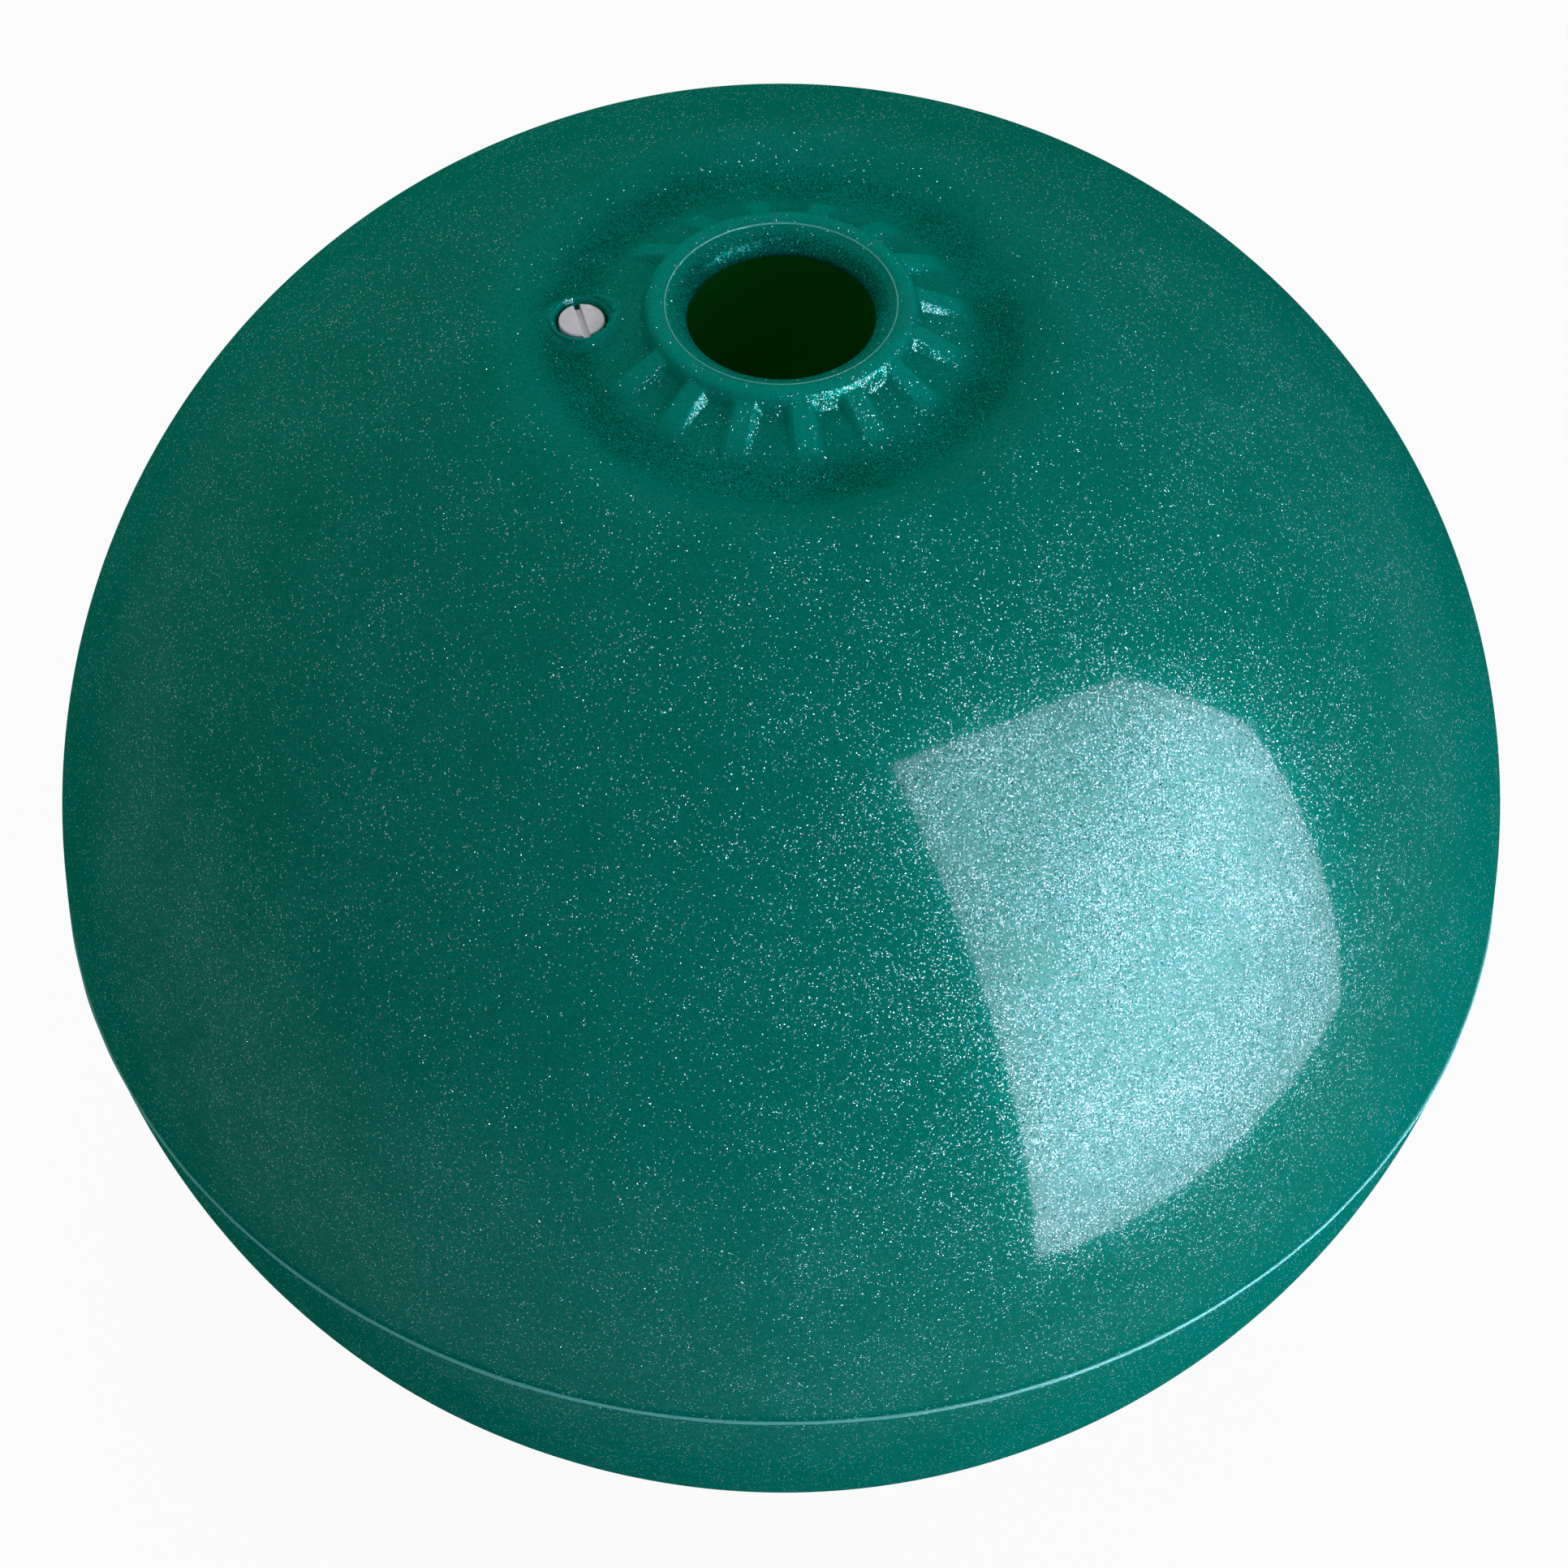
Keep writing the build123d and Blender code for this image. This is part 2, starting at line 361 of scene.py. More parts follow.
def half_skin(name, upper):
    """One moulded half as a closed surface: outer hub and dome, parting face, inner dome and hub root.
    Its attribute of painted light is one on the gussets' tops and the collar's crown and less round the valve,
    where it paints a highlight as paler vinyl, and below zero in the moat and the mouth, where it paints shade
    as deeper vinyl.
    The section is carried round the axis. The hub has twice the other rows' columns, and a row of
    triangles joins them at the dome and at the mouth. Gussets and the valve's socket are changes of
    height on the hub's rows."""
    values = settings()
    fine = RIB_COUNT * values.columns_per_rib
    coarse = fine // 2
    hub = hub_path()
    warped = column_angles(fine)
    even = RIB_FIRST - math.pi / RIB_COUNT + 2 * math.pi * np.arange(fine) / fine
    spread = smooth_step((hub[:, 0] - MOAT_OUTER) / (FINE_END - MOAT_OUTER))[:, None]
    hub_angles = warped[None] * (1 - spread) + even[None] * spread
    hub_rings = skin_points(hub, hub_angles)
    x, y, level = hub_rings[..., 0], hub_rings[..., 1], hub_rings[..., 2]
    radius = np.hypot(x, y)
    lift, top_share = rib_rise(radius, np.arctan2(y, x), level, upper)
    bevel_foot = RIM_RADIUS - BEVEL_WIDTH
    from_valve = np.hypot(x - VALVE_X, y - VALVE_Y)
    # Painted light: a highlight on the crown, the gussets' tops and the swelling round the valve, and painted
    # shade in the moat and the mouth.
    mound_share = 0.8 * smooth_step((BOSS_RADIUS + 0.0036 - from_valve) / 0.002) * upper
    crown_share = smooth_step((radius - bevel_foot) / 0.0004) * smooth_step((COLLAR_FOOT - radius) / 0.0024)
    moat_share = smooth_step((radius - 0.049) / 0.008) * smooth_step((0.07 - radius) / 0.008)
    mouth_share = smooth_step((bevel_foot - radius) / 0.003)
    relief_shading = np.maximum(np.maximum(top_share, crown_share), mound_share)
    relief_shading = relief_shading - 0.8 * moat_share * (1 - top_share) - 0.85 * mouth_share
    if upper:
        lift = lift + valve_pit(x, y, level)
    hub_rings[..., 2] += lift

    dome = arc_down(FINE_END, 0.0, values.dome_rows)[1:]
    inner = arc_down(SHOULDER_RADIUS + WALL, WALL, 18)[::-1]
    slope = (moat_level() - HUB_PLATE - HUB_ROOT_LEVEL) / (MOAT_OUTER - TUBE_RADIUS)
    root_radii = np.concatenate([np.linspace(MOAT_OUTER, 0.044, 17), [TUBE_RADIUS]])
    root = np.stack([root_radii, HUB_ROOT_LEVEL + slope * (root_radii - TUBE_RADIUS)], 1)
    rest = np.concatenate([dome, inner, root, [(TUBE_RADIUS, MOUTH_LEVEL)]])
    rest_angles = np.broadcast_to(even[::2], (len(rest), coarse))
    rest_rings = skin_points(rest, rest_angles)
    rest_rings[: len(dome)] += soft_swell(rest_rings[: len(dome)])
    if upper:
        under = rest_rings[len(dome) + len(inner) : -1]
        under[..., 2] += valve_cup(under[..., 0], under[..., 1], under[..., 2])

    points = np.concatenate([hub_rings.reshape(-1, 3), rest_rings.reshape(-1, 3)])
    hub_count, rest_count = len(hub), len(rest)
    base = hub_count * fine
    last_hub = (hub_count - 1) * fine
    last_rest = base + (rest_count - 1) * coarse
    faces = [ring_quads(row * fine, (row + 1) * fine, fine) for row in range(hub_count - 1)]
    starts = base + coarse * np.arange(rest_count - 1)
    faces += [ring_quads(start, start + coarse, coarse) for start in starts]
    faces += [stitch_up(base, last_hub, coarse)[:, ::-1], stitch_up(last_rest, 0, coarse)]
    if not upper:
        points[:, 2] = 2 * PARTING_LEVEL - points[:, 2]
        faces = [block[:, ::-1] for block in faces]
    piece = put_mesh(name, points, faces)
    share = np.zeros(len(points), np.float32)
    share[: relief_shading.size] = relief_shading.ravel()
    piece.data.attributes.new("relief_shading", "FLOAT", "POINT").data.foreach_set("value", share)
    return piece


def soft_swell(rings):
    """Slight unevenness of soft vinyl: three long waves, outwards, fading at the parting plane and the hub."""
    amount = settings().swell
    x, y, z = rings[..., 0], rings[..., 1], rings[..., 2]
    wave = np.sin(31 * x + 17 * z + 0.6) + np.sin(27 * y - 23 * z + 2.1)
    wave = wave + 0.6 * np.sin(43 * x - 29 * y + 1.3)
    fade = smooth_step((z - PARTING_LEVEL) / 0.02) * smooth_step((CROWN_LEVEL - 0.01 - z) / 0.03)
    outward = rings - np.array([0, 0, PARTING_LEVEL])
    outward /= np.linalg.norm(outward, axis=-1, keepdims=True)
    return outward * (amount * wave * fade)[..., None]


def turned_piece(name, section, columns, centre):
    """A closed section (radius, height) carried once round an upright axis, with no end caps."""
    angles = 2 * math.pi * np.arange(columns) / columns
    rings = skin_points(section, np.broadcast_to(angles, (len(section), columns)))
    points = rings.reshape(-1, 3) + np.array([centre[0], centre[1], 0])
    rows = len(section)
    faces = [ring_quads(row * columns, (row + 1) % rows * columns, columns) for row in range(rows)]
    return put_mesh(name, points, faces)


# Materials. The helpers take a node tree, and sockets or plain values, and give an output socket.


def new_material(name):
    """An empty node material: (material, tree, the output's surface socket)."""
    material = bpy.data.materials.new(name)
    material.use_nodes = True
    tree = material.node_tree
    tree.nodes.clear()
    return material, tree, tree.nodes.new("ShaderNodeOutputMaterial").inputs["Surface"]


def feed(tree, socket, value):
    """Links another node's output to a socket, or sets the socket to a number, colour or vector."""
    if isinstance(value, bpy.types.NodeSocket):
        tree.links.new(value, socket)
    else:
        socket.default_value = value


def math_node(tree, operation, first, second=None, clamp=False):
    """A Math node."""
    node = tree.nodes.new("ShaderNodeMath")
    node.operation = operation
    node.use_clamp = clamp
    feed(tree, node.inputs[0], first)
    if second is not None:
        feed(tree, node.inputs[1], second)
    return node.outputs[0]


def vector_node(tree, operation, first, second=None):
    """A Vector Math node; for SCALE the second value is a number."""
    node = tree.nodes.new("ShaderNodeVectorMath")
    node.operation = operation
    feed(tree, node.inputs[0], first)
    if second is not None:
        feed(tree, node.inputs["Scale" if operation == "SCALE" else 1], second)
    return node.outputs["Value" if operation in ("LENGTH", "DOT_PRODUCT") else "Vector"]


def ramp(tree, value, low, high, start=0.0, end=1.0, smooth=False):
    """A Map Range node that gives low at start and high at end."""
    node = tree.nodes.new("ShaderNodeMapRange")
    node.interpolation_type = "SMOOTHSTEP" if smooth else "LINEAR"
    feed(tree, node.inputs["Value"], value)
    for name, limit in (("From Min", start), ("From Max", end), ("To Min", low), ("To Max", high)):
        feed(tree, node.inputs[name], limit)
    return node.outputs[0]


def mix(tree, factor, first, second, data_type="RGBA"):
    """A Mix node, for colours unless data_type is FLOAT."""
    node = tree.nodes.new("ShaderNodeMix")
    node.data_type = data_type
    feed(tree, node.inputs["Factor"], factor)
    feed(tree, node.inputs["A"], first)
    feed(tree, node.inputs["B"], second)
    return node.outputs["Result"]


def noise(tree, place, scale, detail, roughness=0.5):
    """A Noise texture."""
    node = tree.nodes.new("ShaderNodeTexNoise")
    node.inputs["Scale"].default_value = scale
    node.inputs["Detail"].default_value = detail
    node.inputs["Roughness"].default_value = roughness
    feed(tree, node.inputs["Vector"], place)
    return node.outputs["Fac"]


def bump(tree, height, distance, strength):
    """The normal of a Bump node."""
    node = tree.nodes.new("ShaderNodeBump")
    node.inputs["Distance"].default_value = distance
    node.inputs["Strength"].default_value = strength
    feed(tree, node.inputs["Height"], height)
    return node.outputs[0]


def object_place(tree):
    """The point's place in the object's own coordinates."""
    return tree.nodes.new("ShaderNodeTexCoord").outputs["Object"]


def hub_fade(tree, place):
    """Zero on the hub and one on the open dome, by the distance from the buoy's axis."""
    radius = vector_node(tree, "LENGTH", vector_node(tree, "MULTIPLY", place, (1, 1, 0)))
    return ramp(tree, radius, 0.0, 1.0, SHOULDER_RADIUS - 0.009, SHOULDER_RADIUS + 0.025, smooth=True)


def vinyl_tone_and_painted_light(tree, place, relief_shading):
    """Clouded teal, with a painted highlight where the surface is raised and painted shade where it is sunken.
    """
    values = settings()
    cloud = noise(tree, place, 60.0, 7.0, 0.66)
    tone = mix(tree, cloud, (*values.vinyl_dark, 1), (*values.vinyl_light, 1))
    # Painted highlight: raised places turn paler.
    raised = math_node(tree, "MULTIPLY", relief_shading, values.raised_highlight_share, clamp=True)
    tone = mix(tree, raised, tone, (*values.raised_highlight_colour, 1))
    # Painted shade: sunken places turn deeper.
    sunken = math_node(tree, "MULTIPLY", relief_shading, -values.sunken_shade_share, clamp=True)
    return mix(tree, sunken, tone, (*values.sunken_shade_colour, 1))


def flake_vinyl(name):
    """Teal vinyl with fine metallic flakes under a thin gloss, and painted highlight and shade by the relief.
    Each flake is a Voronoi cell that leans its own way, so it glints only where its own mirror meets
    something bright. The lean is a power of an even random number, so most flakes lie nearly flat. A few
    places carry painted glints, pale flecks in the base colour, alike from every side. Only the gloss and
    slight
    metallic sheen depend on the view: they fade towards grazing angles, as on soft dusty vinyl. The gloss also
    fades in the sunken places, and between the flakes there is none on the hub."""
    values = settings()
    material, tree, surface = new_material(name)
    shader = tree.nodes.new("ShaderNodeBsdfPrincipled")
    feed(tree, surface, shader.outputs[0])
    place = object_place(tree)
    attribute = tree.nodes.new("ShaderNodeAttribute")
    attribute.attribute_name = "relief_shading"
    relief_shading = attribute.outputs["Fac"]
    off_hub = hub_fade(tree, place)
    edge = tree.nodes.new("ShaderNodeLayerWeight")
    edge.inputs["Blend"].default_value = 0.5
    sheen = ramp(tree, edge.outputs["Facing"], 1.0, 0.0, 0.32, 0.8, smooth=True)

    flakes = tree.nodes.new("ShaderNodeTexVoronoi")
    flakes.inputs["Scale"].default_value = 1.0 / values.flake_size
    feed(tree, flakes.inputs["Vector"], place)
    chance = tree.nodes.new("ShaderNodeSeparateColor")
    feed(tree, chance.inputs[0], flakes.outputs["Color"])
    heading = tree.nodes.new("ShaderNodeTexWhiteNoise")
    feed(tree, heading.inputs["Vector"], flakes.outputs["Position"])
    crowd = ramp(tree, noise(tree, place, 38.0, 3.0), 0.5, 1.5, 0.3, 0.7)
    few = math_node(tree, "MULTIPLY", crowd, values.flake_share)
    few = math_node(tree, "MULTIPLY", few, ramp(tree, off_hub, 1.5, 1.0))
    chosen = math_node(tree, "LESS_THAN", chance.outputs[2], few)

    gloss = math_node(tree, "MULTIPLY", off_hub, values.gloss_weight)
    shine = math_node(tree, "POWER", chance.outputs[1], values.flake_spread)
    shine = math_node(tree, "MULTIPLY", shine, values.flake_gloss)
    weight = mix(tree, chosen, gloss, shine, "FLOAT")
    open_air = math_node(tree, "ADD", relief_shading, 1.0, clamp=True)
    seen = math_node(tree, "MULTIPLY", sheen, open_air)

    lean = math_node(tree, "POWER", chance.outputs[0], values.flake_calm)
    lean = math_node(tree, "MULTIPLY", lean, values.flake_tilt)
    lean = math_node(tree, "MULTIPLY", lean, chosen)
    aside = vector_node(tree, "SUBTRACT", heading.outputs["Color"], (0.5, 0.5, 0.5))
    shift = vector_node(tree, "SCALE", aside, lean)
    ripple = bump(tree, noise(tree, place, 1700.0, 2.0), 0.00003, values.grain_strength)
    normal = vector_node(tree, "NORMALIZE", vector_node(tree, "ADD", ripple, shift))

    colour = mix(tree, chosen, vinyl_tone_and_painted_light(tree, place, relief_shading), (*values.flake_colour, 1))
    # Painted glints: a few places get a pale fleck in the base colour, standing in for flakes that catch the
    # light.
    density = math_node(tree, "MULTIPLY", crowd, values.painted_glint_share)
    density = math_node(tree, "MULTIPLY", density, ramp(tree, off_hub, 0.1, 1.0))
    painted_glint = math_node(tree, "LESS_THAN", heading.outputs["Value"], density)
    metal = math_node(tree, "MULTIPLY", chosen, sheen)
    pearl = math_node(tree, "MULTIPLY", sheen, values.pearl)
    sockets = {
        "Base Color": mix(tree, painted_glint, colour, (*values.painted_glint_colour, 1)),
        "Metallic": ramp(tree, metal, pearl, values.flake_metal),
        "Roughness": ramp(tree, chosen, values.vinyl_roughness, values.flake_roughness),
        "Specular IOR Level": 0.0,
        "Normal": normal,
        "Coat Weight": math_node(tree, "MULTIPLY", weight, seen),
        "Coat Roughness": values.gloss_roughness,
        "Coat Normal": normal,
    }
    for socket, value in sockets.items():
        feed(tree, shader.inputs[socket], value)
    return material


def plain_plastic(name, dark, light, roughness, specular, scale, depth, painted_glow=(0, 0, 0)):
    """Moulded plastic or rubber: two close tones clouded together and a fine orange-peel bump.
    The painted glow is faint emitted light, no lamp, that lifts a dark place out of black."""
    material, tree, surface = new_material(name)
    shader = tree.nodes.new("ShaderNodeBsdfPrincipled")
    feed(tree, surface, shader.outputs[0])
    cloud = noise(tree, object_place(tree), scale, 5.0)
    sockets = {
        "Base Color": mix(tree, cloud, (*dark, 1), (*light, 1)),
        "Roughness": roughness,
        "Specular IOR Level": specular,
        "Emission Color": (*painted_glow, 1),
        "Emission Strength": 1.0 if any(painted_glow) else 0.0,
        "Normal": bump(tree, cloud, depth, 0.5),
    }
    for socket, value in sockets.items():
        feed(tree, shader.inputs[socket], value)
    return material


def edge_highlight_vinyl():
    """Paler vinyl of the parting line and the mouths' thin edges: a painted highlight along these edges."""
    values = settings()
    dark, light = np.array(values.edge_highlight_colour) * 0.8, np.array(values.edge_highlight_colour) * 1.25
    return shared_material(
        "edge_highlight_vinyl", lambda name: plain_plastic(name, dark, light, 0.45, 0.06, 900.0, 0.00006)
    )


def shared_material(name, maker):
    """The material of that name, made by maker the first time.
    The frame's own materials have other names."""
    return bpy.data.materials.get(name) or maker(name)


def dress(piece, material, body, slot, *nodes_replaced):
    """Gives a piece its material and body, and hides the frame's nodes that it stands for. The record slot is
    not used.
    """
    piece.data.materials.append(material)
    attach(piece, body)
    if nodes_replaced:
        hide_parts(*nodes_replaced)


class BuoySettings(bpy.types.PropertyGroup):
    """Sizes, colours and lights that a user would change."""

    columns_per_rib: IntProperty(
        name="Columns per gusset",
        description="Fine columns of the skin in each gusset's pitch", default=40, min=12,
    )
    dome_rows: IntProperty(
        name="Dome rows", description="Rows of the skin from hub to parting line", default=62, min=8
    )
    swell: FloatProperty(
        name="Unevenness",
        description="Height of the soft waves in the skin", default=0.00008, unit="LENGTH",
    )
    bead_width: FloatProperty(
        name="Bead width", description="Width of the raised parting line", default=0.0013, unit="LENGTH"
    )
    bead_height: FloatProperty(
        name="Bead height", description="How far the parting line stands out", default=0.0006, unit="LENGTH"
    )
    vinyl_dark: FloatVectorProperty(
        name="Vinyl, dark",
        description="Darker tone of the vinyl", default=(0.0, 0.172, 0.109), subtype="COLOR",
    )
    vinyl_light: FloatVectorProperty(
        name="Vinyl, light",
        description="Lighter tone of the vinyl", default=(0.0, 0.198, 0.134), subtype="COLOR",
    )
    # Painted highlight on the crown, the gussets' tops and round the valve.
    raised_highlight_colour: FloatVectorProperty(
        name="Raised places",
        description="Vinyl of crown and gusset tops", default=(0.0, 0.30, 0.22), subtype="COLOR",
    )
    # How strong the painted highlight is.
    raised_highlight_share: FloatProperty(
        name="Raised share",
        description="How much paler the raised places are", default=1.0, subtype="FACTOR",
    )
    # Painted shade in the moat, the mouth and the valve's recess.
    sunken_shade_colour: FloatVectorProperty(
        name="Sunken places",
        description="Vinyl of moat and mouth", default=(0.0, 0.07, 0.04), subtype="COLOR",
    )
    # How strong the painted shade is.
    sunken_shade_share: FloatProperty(
        name="Sunken share",
        description="How much deeper the sunken places are", default=0.9, subtype="FACTOR",
    )
    flake_colour: FloatVectorProperty(
        name="Flake", description="Colour of the flakes", default=(0.0, 0.24, 0.18), subtype="COLOR"
    )
    # Painted highlight: the paler colour along the parting bead and the mouths' thin edges.
    edge_highlight_colour: FloatVectorProperty(
        name="Cut vinyl", description="Colour of trimmed edges", default=(0.1, 0.46, 0.4), subtype="COLOR"
    )
    vinyl_roughness: FloatProperty(
        name="Roughness",
        description="Roughness of the vinyl under its gloss", default=0.24, subtype="FACTOR",
    )
    pearl: FloatProperty(
        name="Pearl",
        description="How metallic the vinyl is between its flakes", default=0.014, subtype="FACTOR",
    )
    gloss_weight: FloatProperty(
        name="Gloss", description="Strength of the gloss", default=0.053, subtype="FACTOR"
    )
    gloss_roughness: FloatProperty(
        name="Gloss roughness", description="Roughness of the gloss", default=0.05, subtype="FACTOR"
    )
    grain_strength: FloatProperty(
        name="Grain", description="Strength of the fine grain in the vinyl", default=0.06, subtype="FACTOR"
    )
    flake_size: FloatProperty(
        name="Flake size", description="Distance between flakes", default=0.00028, unit="LENGTH"
    )
    flake_share: FloatProperty(
        name="Flake share", description="Share of places that hold a flake", default=0.3, subtype="FACTOR"
    )
    # Painted glints: share of places whose base colour is a pale fleck.
    painted_glint_share: FloatProperty(
        name="Glint share", description="Share of places bright in themselves", default=0.016, subtype="FACTOR"
    )
    # Painted glints: colour of the pale flecks.
    painted_glint_colour: FloatVectorProperty(
        name="Glint colour",
        description="Colour of the bright flakes", default=(0.5, 0.72, 0.7), subtype="COLOR",
    )
    flake_gloss: FloatProperty(
        name="Flake gloss", description="Gloss of the brightest flakes", default=0.5, subtype="FACTOR"
    )
    flake_spread: FloatProperty(
        name="Flake spread", description="How far flakes differ in brightness", default=1.3
    )
    flake_metal: FloatProperty(
        name="Flake metal", description="How metallic each flake is", default=0.012, subtype="FACTOR"
    )
    flake_tilt: FloatProperty(name="Flake tilt", description="How far flakes lean at most", default=2.1)
    flake_calm: FloatProperty(
        name="Flake calm", description="How many of the flakes lie nearly flat", default=2.6
    )
    flake_roughness: FloatProperty(
        name="Flake roughness",
        description="Roughness of each flake's own mirror", default=0.15, subtype="FACTOR",
    )
    # Painted shade: the near-black green inside the centre tube stands for the shade in the bore.
    tube_shade_colour: FloatVectorProperty(
        name="Tube",
        description="Colour inside the centre tube", default=(0.0, 0.03, 0.004), subtype="COLOR",
    )
    # Painted glow: faint green light given off inside the dark tube.
    tube_painted_glow: FloatVectorProperty(
        name="Tube glow",
        description="Light through the tube's wall", default=(0.0, 0.0105, 0.0003), subtype="COLOR",
    )
    plug_colour: FloatVectorProperty(
        name="Plug", description="Colour of the valve's plug", default=(0.78, 0.77, 0.78), subtype="COLOR"
    )
    window_strength: FloatProperty(
        name="Side light", description="Brightness of the mirrored panel", default=62.0
    )
    key_power: FloatProperty(name="Key", description="Watts of the soft lamp at the right", default=10.8)
    overhead_power: FloatProperty(
        name="Overhead", description="Watts of the soft lamp overhead", default=8.8
    )
    left_power: FloatProperty(name="Left", description="Watts of the soft lamp at the left", default=3.2)
    back_power: FloatProperty(name="Back", description="Watts of the soft lamp behind", default=7.1)
    fill_strength: FloatProperty(name="Fill", description="Light from the surroundings", default=0.02)
    backdrop_strength: FloatProperty(
        name="Backdrop", description="Paleness of the far backdrop", default=0.35
    )


class BUOY_OT_skin(bpy.types.Operator):
    """Make the two moulded halves of the skin, with their ribbed hubs"""

    bl_idname = "buoy.skin"
    bl_label = "Moulded skin"

    def execute(self, context):
        vinyl = shared_material("flake_vinyl", flake_vinyl)
        top = half_skin("skin_upper", upper=True)
        dress(top, vinyl, "buoy", "shell_vinyl", "shell_upper", "hub_upper")
        bottom = half_skin("skin_lower", upper=False)
        dress(bottom, vinyl, "buoy", "shell_vinyl", "shell_lower", "hub_lower")
        return {"FINISHED"}


class BUOY_OT_tube(bpy.types.Operator):
    """Make the tube through the centre"""

    bl_idname = "buoy.centre_tube"
    bl_label = "Centre tube"

    def execute(self, context):
        low = 2 * PARTING_LEVEL - MOUTH_LEVEL
        section = np.array(
            [(BORE_RADIUS, low), (BORE_RADIUS, MOUTH_LEVEL), (TUBE_RADIUS, MOUTH_LEVEL), (TUBE_RADIUS, low)]
        )
        section = filled_path(np.concatenate([section, section[:1]]), 0.02)[:-1]
        piece = turned_piece("tube_wall", section, 168, (0, 0))
        piece.data.set_sharp_from_angle(angle=math.radians(40))
        # The tube's inside is painted shade, near-black green with a faint painted glow.
        colour = np.array(settings().tube_shade_colour)
        painted_glow = tuple(settings().tube_painted_glow)
        rubber = shared_material(
            "bore_painted_shade",
            lambda name: plain_plastic(name, colour * 0.7, colour * 1.3, 0.7, 0.0, 90.0, 0.0002, painted_glow),
        )
        dress(piece, rubber, "buoy", "tube_vinyl", "centre_tube")
        return {"FINISHED"}


class BUOY_OT_bead(bpy.types.Operator):
    """Make the raised line where the mould's halves met"""

    bl_idname = "buoy.parting_bead"
    bl_label = "Parting bead"

    def execute(self, context):
        values = settings()
        columns = 720
        half = values.bead_width / 2
        around = np.linspace(0, math.pi, 9)
        outer = np.stack([values.bead_height * np.sin(around), -half * np.cos(around)], 1)
        root = np.array([(-0.0012, half), (-0.0012, -half)])
        profile = np.concatenate([outer, root])
        turns = 2 * math.pi * np.arange(columns) / columns
        uneven = 1 + 0.16 * np.sin(9 * turns + 0.4) + 0.12 * np.sin(23 * turns + 1.9)
        uneven = uneven + 0.08 * np.sin(61 * turns)
        out = BUOY_RADIUS + profile[:, :1] * np.where(profile[:, :1] > 0, uneven[None], 1)
        level = PARTING_LEVEL + profile[:, 1:] + 0 * turns[None]
        points = np.stack([out * np.cos(turns), out * np.sin(turns), level], -1).reshape(-1, 3)
        rows = len(profile)
        faces = [ring_quads((row + 1) % rows * columns, row * columns, columns) for row in range(rows)]
        piece = put_mesh("parting_line", points, faces)
        # The bead's paler vinyl is a painted highlight along it.
        dress(piece, edge_highlight_vinyl(), "buoy", "shell_vinyl", "parting_bead")
        return {"FINISHED"}


class BUOY_OT_trim(bpy.types.Operator):
    """Make the thin trimmed edge round each mouth"""

    bl_idname = "buoy.mouth_trim"
    bl_label = "Trimmed mouth edges"

    def execute(self, context):
        foot = CROWN_LEVEL - RIM_DROP - 0.0004
        top = CROWN_LEVEL - RIM_DROP + TRIM_HEIGHT
        half = TRIM_WIDTH / 2
        around = np.linspace(math.pi, 0, 7)
        crest = np.stack([RIM_RADIUS + half * np.cos(around), top - half + half * np.sin(around)], 1)
        section = np.concatenate([[(RIM_RADIUS - half, foot)], crest, [(RIM_RADIUS + half, foot)]])
        for name, mirrored in (("mouth_trim_upper", False), ("mouth_trim_lower", True)):
            piece_section = section.copy()
            if mirrored:
                piece_section[:, 1] = 2 * PARTING_LEVEL - section[:, 1]
                piece_section = piece_section[::-1]
            piece = turned_piece(name, piece_section, 360, (0, 0))
            # The edge's paler vinyl is a painted highlight along it.
            dress(piece, edge_highlight_vinyl(), "buoy", "hub_vinyl")
        return {"FINISHED"}


class BUOY_OT_valve_seat(bpy.types.Operator):
    """Make the valve's round boss with its recess and hole"""

    bl_idname = "buoy.valve_seat"
    bl_label = "Valve seat"

    def execute(self, context):
        corners = [
            (HOLE_RADIUS, SEAT_LOW[2], 0),
            (HOLE_RADIUS, WASHER_FLOOR_LEVEL, 0.0003),
            (RECESS_RADIUS, WASHER_FLOOR_LEVEL, 0.0003),
            (RECESS_RADIUS, LIP_LEVEL - 0.0026, 0.001),
            (RECESS_RADIUS + 0.0012, LIP_LEVEL - 0.0003, 0.0007),
            (BOSS_RADIUS, LIP_LEVEL - LIP_DROP, 0.0009),
            (BOSS_RADIUS, SEAT_LOW[2], 0),
        ]
        section = filled_path(rounded_path(corners, 0.00015), 0.004)
        columns = 144
        piece = turned_piece("valve_boss", section, columns, (VALVE_X, VALVE_Y))
        piece.data.set_sharp_from_angle(angle=math.radians(50))
        # Painted highlight on the boss's lip and painted shade down in its recess.
        relief_shading = np.repeat(1.0 - 2.0 * smooth_step((LIP_LEVEL - LIP_DROP - section[:, 1]) / 0.002), columns)
        share = piece.data.attributes.new("relief_shading", "FLOAT", "POINT")
        share.data.foreach_set("value", relief_shading.astype(np.float32))
        vinyl = shared_material("flake_vinyl", flake_vinyl)
        dress(piece, vinyl, "buoy", "hub_vinyl", "valve_seat")
        return {"FINISHED"}


